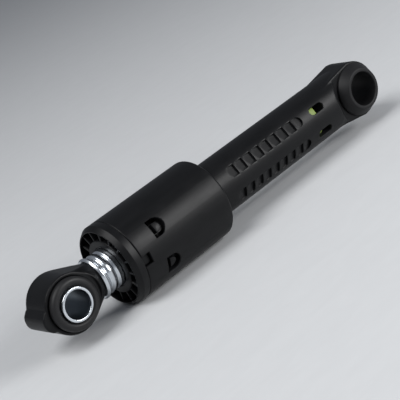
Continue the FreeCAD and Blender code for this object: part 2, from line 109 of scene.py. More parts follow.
def new_piece(name, vertices, faces):
    """A closed mesh with its doubles merged and its faces turned outwards."""
    mesh = bpy.data.meshes.new(name)
    mesh.from_pydata(vertices, [], faces)
    made = bmesh.new()
    made.from_mesh(mesh)
    bmesh.ops.remove_doubles(made, verts=made.verts, dist=TOUCHING)
    bmesh.ops.delete(made, geom=[vertex for vertex in made.verts if not vertex.link_faces], context="VERTS")
    bmesh.ops.delete(made, geom=[edge for edge in made.edges if not edge.link_faces], context="EDGES")
    bmesh.ops.recalc_face_normals(made, faces=made.faces)
    made.to_mesh(mesh)
    made.free()
    piece = bpy.data.objects.new(name, mesh)
    bpy.context.scene.collection.objects.link(piece)
    return piece


def lathe(name, corners, axis="X", centre=0.0, segments=128, longest=3 * MM, steps=4):
    """A closed outline of (along, radius) corners turned about X, or about Y at a place on X."""
    outline = []
    points = rounded(corners, steps)
    for index, point in enumerate(points):
        previous = points[index - 1]
        cuts = max(1, math.ceil((point - previous).length / longest))
        outline += [previous.lerp(point, (cut + 1) / cuts) for cut in range(cuts)]
    vertices, faces = [], []
    for segment in range(segments):
        turn = math.tau * segment / segments
        for along, radius in outline:
            side, up = radius * math.cos(turn), radius * math.sin(turn)
            vertices.append((along, side, up) if axis == "X" else (centre + side, along, up))
    count = len(outline)
    for segment in range(segments):
        here, there = segment * count, (segment + 1) % segments * count
        for index in range(count):
            following = (index + 1) % count
            faces.append((here + index, here + following, there + following, there + index))
    return new_piece(name, vertices, faces)


def loft(name, rings):
    """A closed shape through rings of as many points each."""
    count = len(rings[0])
    vertices = [point for ring in rings for point in ring]
    faces = [tuple(range(count)), tuple(range(len(vertices) - count, len(vertices)))]
    for here in range(0, len(vertices) - count, count):
        there = here + count
        for index in range(count):
            following = (index + 1) % count
            faces.append((here + index, here + following, there + following, there + index))
    return new_piece(name, vertices, faces)


def plain_mesh(piece):
    """Bakes the modifiers of a piece into its mesh."""
    shown = piece.evaluated_get(bpy.context.evaluated_depsgraph_get())
    mesh = bpy.data.meshes.new_from_object(shown)
    piece.modifiers.clear()
    piece.data = mesh
    return piece


def combine(piece, operation, *tools):
    """Joins tools to a piece or cuts them from it, one after another, and removes them."""
    for tool in tools:
        step = piece.modifiers.new(tool.name, "BOOLEAN")
        step.operation = operation
        step.solver = "MANIFOLD"
        step.object = tool
    plain_mesh(piece)
    for tool in tools:
        bpy.data.objects.remove(tool)
    return piece


def moulded(piece, grid, passes):
    """Blends the shapes of a piece into one skin with soft edges, as it leaves its mould."""
    skin = piece.modifiers.new("skin", "REMESH")
    skin.mode = "VOXEL"
    skin.voxel_size = grid
    edges = piece.modifiers.new("edges", "SMOOTH")
    edges.factor = 0.5
    edges.iterations = passes
    return plain_mesh(piece)


def shade(piece, angle=35):
    """Smooth shading, with edges sharper than an angle kept."""
    piece.data.shade_smooth()
    piece.data.set_sharp_from_angle(angle=math.radians(angle))
    return piece


def outwards(outline, radius, side=1):
    """Points (along X, across) wrapped on a cylinder round the damper's axis, on its +Y or -Y side."""
    return [(along, side * math.sqrt(radius ** 2 - across ** 2), across) for along, across in outline]


def sideways(outline, across):
    """An outline drawn in X and Z, set off along Y."""
    return [(along, across, up) for along, up in outline]


class Wire:
    """A socket in a node tree. Arithmetic on it adds Math nodes."""

    def __init__(self, tree, socket=None):
        self.tree = tree
        self.socket = socket

    def node(self, kind, inputs=None, output=0, **settings):
        """Adds a node: its settings first, then the values or links of its sockets."""
        made = self.tree.nodes.new(kind)
        stops = settings.pop("stops", ())
        for key, value in settings.items():
            setattr(made, key, value)
        for index, (position, level) in enumerate(stops):
            made.color_ramp.elements[index].position = position
            made.color_ramp.elements[index].color = (level, level, level, 1)
        for key, value in (inputs or {}).items():
            if isinstance(value, Wire):
                self.tree.links.new(value.socket, made.inputs[key])
            else:
                made.inputs[key].default_value = value
        return Wire(self.tree, made.outputs[output])

    def math(self, operation, first, second=0.0):
        return self.node("ShaderNodeMath", {0: first, 1: second}, operation=operation)

    def mix(self, colour, other):
        """A colour between two, as far as this value says. Each is three numbers or a wire."""
        first, last = (tone if isinstance(tone, Wire) else (*tone, 1) for tone in (colour, other))
        return self.node("ShaderNodeMix", {"Factor": self, 6: first, 7: last}, output=2, data_type="RGBA")

    def between(self, start, end):
        """0 up to a start, 1 from an end on, and even between them."""
        return self.node("ShaderNodeMapRange", {"Value": self, "From Min": start, "From Max": end})

    def feed(self, shader, name):
        self.tree.links.new(self.socket, shader.inputs[name])

    def __add__(self, other):
        return self.math("ADD", self, other)

    def __radd__(self, other):
        return self.math("ADD", other, self)

    def __sub__(self, other):
        return self.math("SUBTRACT", self, other)

    def __rsub__(self, other):
        return self.math("SUBTRACT", other, self)

    def __mul__(self, other):
        return self.math("MULTIPLY", self, other)

    def __rmul__(self, other):
        return self.math("MULTIPLY", other, self)

    def __truediv__(self, other):
        return self.math("DIVIDE", self, other)

    def __pow__(self, other):
        return self.math("POWER", self, other)


def paired_copies():
    """Geometry nodes that set copies of a shape in pairs round the damper's axis."""
    tree = bpy.data.node_groups.new("paired_copies", "GeometryNodeTree")
    face = tree.interface
    face.new_socket("Geometry", in_out="INPUT", socket_type="NodeSocketGeometry")
    for name, kind in (("Count", "NodeSocketInt"), ("Start Angle", "NodeSocketFloat"),
                       ("Finish", "NodeSocketMaterial")):
        face.new_socket(name, in_out="INPUT", socket_type=kind)
    face.new_socket("Geometry", in_out="OUTPUT", socket_type="NodeSocketGeometry")
    wire = Wire(tree)
    given = tree.nodes.new("NodeGroupInput")
    shape, count, start, finish = (Wire(tree, socket) for socket in given.outputs[:4])
    index = wire.node("GeometryNodeInputIndex")
    pair = wire.math("FLOOR", index / 2)
    side = 1 - 2 * (index - 2 * pair)
    turn = pair * (2 * math.tau) / count + side * start
    turned = wire.node("ShaderNodeCombineXYZ", {"X": turn})
    places = wire.node("GeometryNodeMeshLine",
                       {"Count": count, "Start Location": (0, 0, 0), "Offset": (0, 0, 0)})
    ring = wire.node("GeometryNodeInstanceOnPoints",
                     {"Points": places, "Instance": shape, "Rotation": turned})
    real = wire.node("GeometryNodeRealizeInstances", {"Geometry": ring})
    real = wire.node("GeometryNodeSetMaterial", {"Geometry": real, "Material": finish})
    real.feed(tree.nodes.new("NodeGroupOutput"), 0)
    return tree


PAIRED_COPIES = paired_copies()


def repeat(piece, finish, count, start_angle):
    """Runs the paired copies on a piece."""
    copies = piece.modifiers.new("copies", "NODES")
    copies.node_group = PAIRED_COPIES
    sockets = PAIRED_COPIES.interface.items_tree
    named = {socket.name: socket.identifier for socket in sockets if socket.in_out == "INPUT"}
    copies[named["Count"]] = count
    copies[named["Start Angle"]] = start_angle
    copies[named["Finish"]] = finish
    return plain_mesh(piece)


def new_material(name):
    """A material, a wire in its tree and its shader."""
    material = bpy.data.materials.new(name)
    material.use_nodes = True
    return material, Wire(material.node_tree), material.node_tree.nodes["Principled BSDF"]


def moulded_plastic(name, colour, lighter, roughness, grain=0.3, reflection=0.5):
    """Satin moulded plastic: fine eroded grain, slow flow marks along the damper and a few dust specks."""
    material, wire, shader = new_material(name)
    place = wire.node("ShaderNodeTexCoord", output="Object")
    drawn_out = wire.node("ShaderNodeMapping", {"Vector": place, "Scale": (0.35, 1, 1)})
    flow = wire.node("ShaderNodeTexNoise",
                     {"Vector": drawn_out, "Scale": 190, "Detail": 4, "Distortion": 0.6})
    speck = wire.node("ShaderNodeTexNoise", {"Vector": place, "Scale": 4200, "Detail": 2})
    dust = wire.node("ShaderNodeTexNoise", {"Vector": place, "Scale": 1500, "Detail": 1})
    dust = wire.node("ShaderNodeValToRGB", {"Fac": dust}, stops=((0.74, 0), (0.8, 1)))
    tone = flow + 0.6 * dust
    tone.mix(colour, lighter).feed(shader, "Base Color")
    gloss = roughness + 0.18 * (flow - 0.5) + 0.08 * (speck - 0.5) + 0.1 * dust
    gloss.feed(shader, "Roughness")
    relief = wire.node("ShaderNodeBump", {"Strength": grain, "Distance": 0.02 * MM, "Height": speck})
    relief.feed(shader, "Normal")
    shader.inputs["Specular IOR Level"].default_value = reflection
    return material


def fit(piece, material, body, node):
    """Gives a finished piece its material, the body that it moves with and the node that it stands for."""
    piece.data.materials.clear()
    piece.data.materials.append(material)
    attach(piece, body)
    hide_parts(node)


def stadium(start, end, width, gap=0.0, steps=16):
    """A slot with round ends, drawn in by a gap all round."""
    half = width / 2 - gap
    points = []
    for centre, first in ((end - width / 2, -90), (start + width / 2, 90)):
        for step in range(steps + 1):
            turn = math.radians(first + 180 * step / steps)
            points.append((centre + half * math.cos(turn), half * math.sin(turn)))
    return points


def evenly(half, steps=6):
    """Even places from -half to half, with both ends."""
    return [half * step / steps for step in range(-steps, steps + 1)]


def half_round(flat, apex, width, gap=0.0, steps=20):
    """An outline that is flat towards the end cap and round towards the eye, drawn in by a gap all round."""
    half = width / 2 - gap
    points = [(flat - gap, side) for side in evenly(half)]
    for step in range(steps + 1):
        turn = math.pi / 2 + math.pi * step / steps
        points.append((apex + width / 2 + half * math.cos(turn), half * math.sin(turn)))
    return points


BLACK_PLASTIC = moulded_plastic("black_plastic", (0.003, 0.0032, 0.0036), (0.007, 0.0072, 0.008), 0.4,
                                reflection=0.18)

# The skin of the tube is drawn on a grid of turns and stations that follows the pockets' walls
EDGE = 0.12 * MM
EDGE_CURVE = 3.5
WALL = [EDGE * share for share in (-1, -0.45, -0.15, 0, 0.15, 0.45, 1)]
TUBE_FROM = 24.5 * MM
TUBE_TO = BARREL_START - 1 * MM
ACROSS_GRID = 1 * MM
TURN_GRID = math.radians(3)
POCKET_GRID = 0.45 * MM
TUBE_START_GRID = 1.5 * MM
TUBE_END_GRID = 2 * MM
BARREL_GRID = 4 * MM


def wall_share(offset):
    """The share of a pocket's drop at an offset from its wall: round at both edges, steep between."""
    return 0.5 + math.copysign(0.5 * (1 - (1 - min(abs(offset) / EDGE, 1)) ** EDGE_CURVE), offset)


def tube_skin(station, turn):
    """The tube's radius at a place: plain, or in a pocket whose flat floor rises towards the barrel."""
    number = math.floor((station - CELL_START + EDGE) / CELL_PITCH)
    if not 0 <= number < CELL_COUNT:
        return TUBE_RADIUS
    along = station - CELL_START - number * CELL_PITCH
    lean = abs((turn + math.pi / 2) % math.pi - math.pi / 2) - ROW_ANGLE
    floor_height = TUBE_RADIUS - CELL_DEPTH * (1 - max(along, 0) / CELL_RAMP)
    drop = max(TUBE_RADIUS - floor_height / math.cos(lean), 0)
    side = CELL_WIDTH / 2 - abs(TUBE_RADIUS * math.sin(lean))
    return TUBE_RADIUS - drop * wall_share(along) * wall_share(side)


def spread(start, end, step):
    """Even places from a start up to an end, without the end."""
    count = max(1, round((end - start) / step))
    return [start + (end - start) * index / count for index in range(count)]


half_row = CELL_WIDTH / 2
across = [-half_row + offset for offset in WALL] + [half_row + offset for offset in WALL]
across += spread(-half_row + EDGE, half_row - EDGE, ACROSS_GRID)
quarter = [ROW_ANGLE + math.asin(offset / TUBE_RADIUS) for offset in across]
row_side = math.asin((half_row + EDGE) / TUBE_RADIUS)
quarter += spread(0, ROW_ANGLE - row_side, TURN_GRID)
quarter += spread(ROW_ANGLE + row_side, math.pi / 2, TURN_GRID) + [math.pi / 2]
turns = {round(turn, 6) for first in quarter for turn in (first, math.pi - first, math.pi + first)}
turns = sorted(turns | {round(math.tau - first, 6) for first in quarter if first > 0})

stations = spread(TUBE_FROM, CELL_START - EDGE, TUBE_START_GRID)
for number in range(CELL_COUNT):
    step = CELL_START + number * CELL_PITCH
    stations += [step + offset for offset in WALL]
    stations += spread(step + EDGE, step + CELL_PITCH - EDGE, POCKET_GRID)[1:]
stations += spread(CELL_START + CELL_COUNT * CELL_PITCH - EDGE, TUBE_TO, TUBE_END_GRID)
rings = [(station, [tube_skin(station, turn) for turn in turns]) for station in stations]
profile = rounded([
    (TUBE_TO, TUBE_RADIUS), (BARREL_START, TUBE_RADIUS, SHOULDER_FILLET),
    (BARREL_START, BARREL_RADIUS, SHOULDER_ROUND), (BARREL_END, BARREL_RADIUS, JOINT_ROUND),
    (BARREL_END, BARREL_BORE, BORE_EDGE), (BARREL_FLOOR, BARREL_BORE), (BARREL_FLOOR, TUBE_BORE, BORE_EDGE),
    (TUBE_FROM, TUBE_BORE)], steps=6)
for first, last in zip(profile, profile[1:]):
    for share in spread(0, 1, BARREL_GRID / max((last - first).length, TOUCHING)):
        place = first.lerp(last, share)
        rings.append((place.x, [place.y] * len(turns)))
rings.append((TUBE_FROM, [TUBE_BORE] * len(turns)))
vertices = [(station, radius * math.cos(turn), radius * math.sin(turn))
            for station, ring in rings for radius, turn in zip(ring, turns)]
count = len(turns)
faces = []
for index in range(len(rings)):
    here, there = index * count, (index + 1) % len(rings) * count
    for first in range(count):
        following = (first + 1) % count
        faces.append((here + first, here + following, there + following, there + first))
tube = new_piece("tube_and_barrel", vertices, faces)

# Windows, latch openings, notches and the round last pocket, each with a small chamfer at the skin
CHAMFER = 0.25 * MM


def opening(name, bottom, skin, outline, side=1):
    """A cutter from a bottom ring up to the skin, where it flares. outline(gap) draws it in by a gap."""
    rings = ((0, skin - CHAMFER), (-2 * CHAMFER, skin + CHAMFER), (-2 * CHAMFER, skin + 2 * OVERLAP))
    return loft(name, [bottom] + [outwards(outline(gap), radius, side) for gap, radius in rings])


def window_shape(gap):
    return stadium(*WINDOW, WINDOW_WIDTH, gap)


def latch_shape(gap):
    return half_round(LATCH_FLAT, LATCH_APEX, LATCH_WIDTH, gap)


def last_pocket_shape(gap):
    return half_round(CELL_START + 2 * EDGE + gap, CELL_START - CELL_PITCH, CELL_WIDTH, gap)


def notch_shape(gap, spare=OVERLAP):
    closed = [(NOTCH_START + gap, side) for side in evenly(NOTCH_WIDTH / 2 - gap)]
    return closed + [(BARREL_END + spare, side) for along, side in reversed(closed)]


last_floor = [(along, TUBE_RADIUS - CELL_DEPTH * (CELL_START - along) / CELL_PITCH, side)
              for along, side in last_pocket_shape(0)]
window_bottom = outwards(window_shape(0), TUBE_BORE - OVERLAP)
latch_bottom = outwards(latch_shape(0), BARREL_BORE - OVERLAP)
cutters = [opening("windows", window_bottom, TUBE_RADIUS, window_shape),
           loft("last_pockets", [last_floor, outwards(last_pocket_shape(0), TUBE_RADIUS + OVERLAP)]),
           opening("latch_windows", latch_bottom, BARREL_RADIUS, latch_shape)]
for cutter in cutters:
    repeat(cutter, BLACK_PLASTIC, ROW_COUNT, ROW_ANGLE)
for side in (1, -1):
    bottom = outwards(notch_shape(0), BARREL_BORE - OVERLAP, side)
    cutters.append(opening(f"notch_{side}", bottom, BARREL_RADIUS, notch_shape, side))
combine(tube, "DIFFERENCE", *cutters)

# The eye: a flat ring on the tube's closed end, cut back on both sides with drafted faces
EYE_END = 23.5 * MM
SPARE = 3 * MM


def spot_faces(name, half, radius, depth, centre=0.0):
    """Cutters for a flat on both sides of an eye, with a wall that leans out by the mould's draft."""
    mouth = radius + depth * math.tan(SPOT_DRAFT)
    outline = ((half, 0), (half, radius), (half + depth, mouth), (half + depth, 0))
    return [lathe(f"{name}_{side}", [(side * along, out) for along, out in outline], axis="Y",
                  centre=centre) for side in (1, -1)]


def arc_points(centre, radius, first, last, step=3):
    """Points (X, Z) of an arc round a place on X, by degrees from +X towards +Z."""
    arc_turns = [math.radians(angle) for angle in range(first, last + 1, step)]
    return [(centre + radius * math.cos(turn), radius * math.sin(turn)) for turn in arc_turns]


eye = lathe("eye", [(0, 0), (0, TUBE_RADIUS), (EYE_END + SPARE, TUBE_RADIUS), (EYE_END + SPARE, TUBE_BORE),
                    (BORE_START, TUBE_BORE), (BORE_START, 0)])
neck_height = math.sqrt(TUBE_RADIUS ** 2 - EYE_HALF ** 2)
slab = [(NECK, -neck_height), (NECK, neck_height), *arc_points(0, EYE_RADIUS, 90, 270)]
reach = EYE_HALF + TUBE_RADIUS
spots = spot_faces("spot", EYE_HALF, SPOT_RADIUS, TUBE_RADIUS)
hole = lathe("eye_hole", [(-reach, 0), (-reach, EYE_HOLE), (reach, EYE_HOLE), (reach, 0)], axis="Y")
combine(eye, "UNION", loft("eye_slab", [sideways(slab, -EYE_HALF), sideways(slab, EYE_HALF)]))
combine(eye, "DIFFERENCE", *spots, hole)
moulded(eye, grid=0.32 * MM, passes=18)

# Both are cut square and sewn together where the tube is plain
sewn = bmesh.new()
sewn.from_mesh(eye.data)
bmesh.ops.bisect_plane(sewn, geom=[*sewn.verts, *sewn.edges, *sewn.faces], plane_co=(EYE_END, 0, 0),
                       plane_no=(1, 0, 0), clear_outer=True)
sewn.from_mesh(tube.data)
closing = [face for face in sewn.faces if all(abs(v.co.x - TUBE_FROM) < TOUCHING for v in face.verts)]
bmesh.ops.delete(sewn, geom=closing, context="FACES_ONLY")
for inside in (True, False):
    seam = [edge for edge in sewn.edges if edge.is_boundary
            and (edge.verts[0].co.yz.length < (TUBE_BORE + TUBE_RADIUS) / 2) == inside]
    bmesh.ops.bridge_loops(sewn, edges=seam)
bmesh.ops.recalc_face_normals(sewn, faces=sewn.faces)
housing = bpy.data.objects.new("housing_moulding", bpy.data.meshes.new("housing_moulding"))
bpy.context.scene.collection.objects.link(housing)
sewn.to_mesh(housing.data)
sewn.free()
bpy.data.objects.remove(eye)
bpy.data.objects.remove(tube)
shade(housing, angle=40)
fit(housing, BLACK_PLASTIC, "housing", "housing")


# Housing bush: a hard black bush pressed into the housing eye, with a tapered flange on each side that the
# machine's bracket bears on. It is moulded and turns on a 16 mm pin.
BUSH_BORE = 8.0 * MM
BUSH_BODY = 10.55 * MM
BUSH_FLANGE = 12.4 * MM
BUSH_FLANGE_EDGE = 8.3 * MM
BUSH_RIM = 9.6 * MM
BUSH_HALF = 12.4 * MM
BUSH_EDGE = 0.5 * MM
half_section = [(EYE_HALF, BUSH_BODY), (EYE_HALF, BUSH_FLANGE, 0.2 * MM),
                (BUSH_FLANGE_EDGE, BUSH_FLANGE, 0.4 * MM), (BUSH_HALF, BUSH_RIM, BUSH_EDGE),
                (BUSH_HALF, BUSH_BORE, BUSH_EDGE)]


def both_ways(half):
    """A section that is the same on both sides of the middle, from its half with positive places."""
    return half + [(-corner[0], *corner[1:]) for corner in reversed(half)]


BLACK_BUSH = moulded_plastic("black_bush", (0.006, 0.006, 0.0065), (0.012, 0.012, 0.013), 0.48, grain=0.35,
                             reflection=0.25)
bush = shade(lathe("housing_bush_turned", both_ways(half_section), axis="Y"))
fit(bush, BLACK_BUSH, "housing", "housing_bush")


# Stop pad and buffers: plain rings of black rubber. The pad lies at the closed end of the tube, and one
# buffer lies at each end of the barrel, where the friction carrier comes to a stop.
def moulded_rubber(name, colour, bloom, roughness, reflection):
    """Black rubber: matt, with a pale bloom in slow patches and a fine pitted skin."""
    material, wire, shader = new_material(name)
    place = wire.node("ShaderNodeTexCoord", output="Object")
    patches = wire.node("ShaderNodeTexNoise", {"Vector": place, "Scale": 260, "Detail": 5, "Roughness": 0.6})
    pits = wire.node("ShaderNodeTexNoise", {"Vector": place, "Scale": 3000, "Detail": 3})
    patches.mix(colour, bloom).feed(shader, "Base Color")
    gloss = roughness + 0.2 * (patches - 0.5) + 0.1 * (pits - 0.5)
    gloss.feed(shader, "Roughness")
    relief = wire.node("ShaderNodeBump", {"Strength": 0.35, "Distance": 0.03 * MM, "Height": pits})
    relief.feed(shader, "Normal")
    shader.inputs["Specular IOR Level"].default_value = reflection
    return material


def dress(material, *nodes):
    """Gives a material to nodes whose own shape shows."""
    for node in nodes:
        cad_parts[node].data.materials.clear()
        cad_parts[node].data.materials.append(material)


BLACK_RUBBER = moulded_rubber("black_rubber", (0.007, 0.007, 0.0075), (0.016, 0.016, 0.017), 0.5, 0.3)
dress(BLACK_RUBBER, "stop_pad", "buffer_inner", "buffer_outer")


# Friction carrier: two half shells of black plastic that float in the barrel, closed round two greased foam
# linings. The linings grip the rod, and that is the damper's friction.
def greased_foam(name, colour, greased):
    """Open foam: small cells, darker and glossier where the grease has soaked in."""
    material, wire, shader = new_material(name)
    place = wire.node("ShaderNodeTexCoord", output="Object")
    cells = wire.node("ShaderNodeTexVoronoi", {"Vector": place, "Scale": 1400})
    soaked = wire.node("ShaderNodeTexNoise", {"Vector": place, "Scale": 240, "Detail": 4})
    (soaked * 0.7 + cells * 0.5).mix(greased, colour).feed(shader, "Base Color")
    gloss = 0.55 + 0.5 * (soaked - 0.3)
    gloss.feed(shader, "Roughness")
    relief = wire.node("ShaderNodeBump", {"Strength": 0.8, "Distance": 0.15 * MM, "Height": cells})
    relief.feed(shader, "Normal")
    return material


dress(BLACK_PLASTIC, "carrier_upper", "carrier_lower")
dress(greased_foam("grey_foam", (0.34, 0.34, 0.33), (0.16, 0.16, 0.15)), "lining_inner", "lining_outer")


# Guide piston: a pale yellow-green moulding on the rod's inner end that runs in the housing's tube. Its
# spigot snaps into the rod, so that the rod can turn on it.
PISTON_FACE = 30.3 * MM
PISTON_END = 42.9 * MM
PISTON_RADIUS = 10.3 * MM
PISTON_CORE = 4.5 * MM
SPIGOT_END = 53.9 * MM
SPIGOT_RADIUS = 7.75 * MM
SPIGOT_WAIST = 6.9 * MM
SNAP_PLACE = 48.95 * MM
SNAP_HALF = 2.0 * MM
PISTON_EDGE = 0.6 * MM
CORE_EDGE = 0.3 * MM
piston = lathe("guide_piston_turned", [
    (PISTON_FACE, PISTON_CORE, CORE_EDGE), (SPIGOT_END, PISTON_CORE, CORE_EDGE),
    (SPIGOT_END, SPIGOT_RADIUS, PISTON_EDGE), (SNAP_PLACE + SNAP_HALF, SPIGOT_RADIUS),
    (SNAP_PLACE + SNAP_HALF, SPIGOT_WAIST), (SNAP_PLACE - SNAP_HALF, SPIGOT_WAIST),
    (SNAP_PLACE - SNAP_HALF, SPIGOT_RADIUS), (PISTON_END, SPIGOT_RADIUS),
    (PISTON_END, PISTON_RADIUS, 0.5 * MM), (PISTON_FACE, PISTON_RADIUS, PISTON_EDGE)])
GREEN_PLASTIC = moulded_plastic("green_plastic", (0.19, 0.262, 0.055), (0.26, 0.34, 0.09), 0.42, grain=0.2,
                                reflection=0.25)
fit(shade(piston), GREEN_PLASTIC, "piston", "guide_piston")


# Rod tube: steel tube, zinc plated and passivated to a bluish white. Two grooves are rolled into it over the
# shank of the rod eye, its end is flared to a lip, and a shallow groove at the inner end takes the piston.
ROD_START = 42.95 * MM
ROD_END = 166.5 * MM
ROD_RADIUS = 9.0 * MM
ROD_BORE = 7.8 * MM
LIP_RADIUS = 9.7 * MM
LIP_START = 164.45 * MM
LIP_RISE = 0.7 * MM
LIP_ROUND = 0.5 * MM
LIP_BEVEL = (0.8 * MM, 0.65 * MM)
ROLL_PLACES = (159.6 * MM, 163.1 * MM)
ROLL_DEPTH = 0.8 * MM
ROLL_HALF = 1.1 * MM
SNAP_DEPTH = 0.5 * MM
# Painted shade: the dark colour painted deep in a bore, and the widths over which it fades out towards the
# end face and the mouth
BORE_SHADE_COLOUR = (0.10, 0.12, 0.14)
SHADE_BLEND = 0.3 * MM
SHADE_FADE = 1 * MM


def zinc_plate(name, colour, blued, roughness, axis, centre=0.0, shaded_bore=0.0, shaded_half=0.0):
    """Bright zinc: fine turned lines round the piece's axis under slow clouds of the bluish passivation.
    Deep in a bore of a radius and half length its colour is painted dark as painted shade, and it is
    rougher."""
    material, wire, shader = new_material(name)
    place = wire.node("ShaderNodeTexCoord", output="Object")
    parts = [wire.node("ShaderNodeSeparateXYZ", {0: place}, output=index) for index in range(3)]
    along, side = (parts[0], parts[1]) if axis == "X" else (parts[1], parts[0] - centre)
    radius = (side * side + parts[2] * parts[2]) ** 0.5
    turned = wire.node("ShaderNodeCombineXYZ", {"X": along, "Y": radius})
    lines = wire.node("ShaderNodeTexNoise", {"Vector": turned, "Scale": 7000, "Detail": 3})
    clouds = wire.node("ShaderNodeTexNoise", {"Vector": place, "Scale": 330, "Detail": 5, "Distortion": 0.4})
    # Painted shade: the mask below is 0 on a bore's wall away from its mouths, where the colour is painted
    # dark
    outer = radius.between(shaded_bore, shaded_bore + SHADE_BLEND)
    mouth = wire.math("ABSOLUTE", along).between(shaded_half - SHADE_FADE, shaded_half)
    unshaded = wire.math("MAXIMUM", outer, mouth)
    unshaded.mix(BORE_SHADE_COLOUR, clouds.mix(colour, blued)).feed(shader, "Base Color")
    gloss = roughness + 0.14 * (lines - 0.5) + 0.1 * (clouds - 0.5) + 0.15 * (1 - unshaded)
    gloss.feed(shader, "Roughness")
    relief = wire.node("ShaderNodeBump", {"Strength": 0.3, "Distance": 0.01 * MM, "Height": lines})
    relief.feed(shader, "Normal")
    shader.inputs["Metallic"].default_value = 1.0
    return material


def rolled(place, depth, radius, steps=10):
    """Points of a groove rolled into a wall, deepest at its place and flowing out on both sides."""
    return [(place + ROLL_HALF * share, radius - depth * (1 + math.cos(math.pi * share)) / 2)
            for share in evenly(1, steps)]


grooves = ((SNAP_PLACE, SNAP_DEPTH), *((place, ROLL_DEPTH) for place in ROLL_PLACES))
outside = [point for place, depth in grooves for point in rolled(place, depth, ROD_RADIUS)]
inside = [point for place, depth in grooves for point in rolled(place, depth, ROD_BORE)]
rod = lathe("rod_tube_rolled", [
    (ROD_START, ROD_BORE, 0.2 * MM), (ROD_START, ROD_RADIUS, 0.4 * MM), *outside,
    (LIP_START, ROD_RADIUS, 0.2 * MM), (LIP_START + LIP_RISE, LIP_RADIUS, LIP_ROUND),
    (ROD_END - LIP_BEVEL[0], LIP_RADIUS, LIP_ROUND), (ROD_END, LIP_RADIUS - LIP_BEVEL[1], 0.15 * MM),
    (ROD_END, ROD_BORE), *reversed(inside)])
ZINC_ROD = zinc_plate("zinc_rod", (0.62, 0.65, 0.69), (0.74, 0.78, 0.82), 0.24, "X")
fit(shade(rod), ZINC_ROD, "rod", "rod_tube")


# Rod eye: black moulding of the same plastic as the housing. Its shank sits in the rod tube and is held by
# the rolled grooves, and its flat eye with a small boss on the nose grows out of a round neck.
ROD_EYE_PLACE = 182.7 * MM
ROD_EYE_RADIUS = 12.6 * MM
ROD_EYE_HALF = 8.0 * MM
ROD_EYE_HOLE = 9.2 * MM
ROD_EYE_SEAT = 5.0 * MM
SEAT_RADIUS = 10.95 * MM
ROD_SPOT_RADIUS = 13.3 * MM
ROD_NECK_RADIUS = 8.1 * MM
NECK_SLOPE = 0.54
ROD_ARC_HALF = 108
SHANK_START = 145.4 * MM
SHANK_RADIUS = 7.75 * MM
SHANK_WAIST = 6.95 * MM
SHANK_WAIST_ENDS = (157.4 * MM, 164.9 * MM)
NOSE_OUT = 1.8 * MM
NOSE_BULGE = 0.75 * MM
NOSE_TOP = 2.0 * MM
NOSE_FOOT = -3.8 * MM
eye_end = ROD_EYE_PLACE + ROD_EYE_RADIUS
nose_end = eye_end + NOSE_OUT
slab = [(ROD_END, ROD_NECK_RADIUS), (ROD_END, -ROD_NECK_RADIUS),
        *arc_points(ROD_EYE_PLACE, ROD_EYE_RADIUS, -ROD_ARC_HALF, ROD_ARC_HALF)]
bulge = [(nose_end + NOSE_BULGE * (1 - (2 * share - 1) ** 2), NOSE_FOOT + (NOSE_TOP - NOSE_FOOT) * share)
         for share in (0, 0.25, 0.5, 0.75, 1)]
boss = [(ROD_EYE_PLACE + ROD_EYE_HOLE, NOSE_FOOT - NOSE_OUT), (eye_end, NOSE_FOOT - NOSE_OUT), *bulge,
        (eye_end, NOSE_TOP + NOSE_OUT), (ROD_EYE_PLACE + ROD_EYE_HOLE, NOSE_TOP + NOSE_OUT)]
flare_end = nose_end + 2 * NOSE_BULGE
flare_radius = ROD_NECK_RADIUS + NECK_SLOPE * (flare_end - ROD_END)
cone = lathe("neck_cone", [(ROD_END, 0), (ROD_END, ROD_NECK_RADIUS), (flare_end, flare_radius),
                           (flare_end, 0)])
shank = lathe("shank", [
    (SHANK_START, 0), (SHANK_START, SHANK_RADIUS, 0.8 * MM), (SHANK_WAIST_ENDS[0], SHANK_RADIUS),
    (SHANK_WAIST_ENDS[0], SHANK_WAIST), (SHANK_WAIST_ENDS[1], SHANK_WAIST),
    (SHANK_WAIST_ENDS[1], SHANK_RADIUS), (ROD_END + OVERLAP, SHANK_RADIUS), (ROD_END + OVERLAP, 0)])
reach = ROD_EYE_HALF + OVERLAP
hole = lathe("rod_eye_hole", both_ways([(ROD_EYE_SEAT, ROD_EYE_HOLE), (ROD_EYE_SEAT, SEAT_RADIUS),
                                        (reach, SEAT_RADIUS), (reach, 0)]), axis="Y", centre=ROD_EYE_PLACE)
rod_eye = loft("rod_eye_moulding", [sideways(slab, -ROD_EYE_RADIUS), sideways(slab, ROD_EYE_RADIUS)])
combine(rod_eye, "UNION", loft("nose_boss", [sideways(boss, -ROD_EYE_HALF), sideways(boss, ROD_EYE_HALF)]))
combine(rod_eye, "INTERSECT", cone)
spots = spot_faces("rod_spot", ROD_EYE_HALF, ROD_SPOT_RADIUS, ROD_EYE_RADIUS, ROD_EYE_PLACE)
combine(rod_eye, "DIFFERENCE", *spots)
combine(rod_eye, "UNION", shank)
combine(rod_eye, "DIFFERENCE", hole)
moulded(rod_eye, grid=0.26 * MM, passes=18)
fit(shade(rod_eye, angle=60), BLACK_PLASTIC, "rod", "rod_eye")


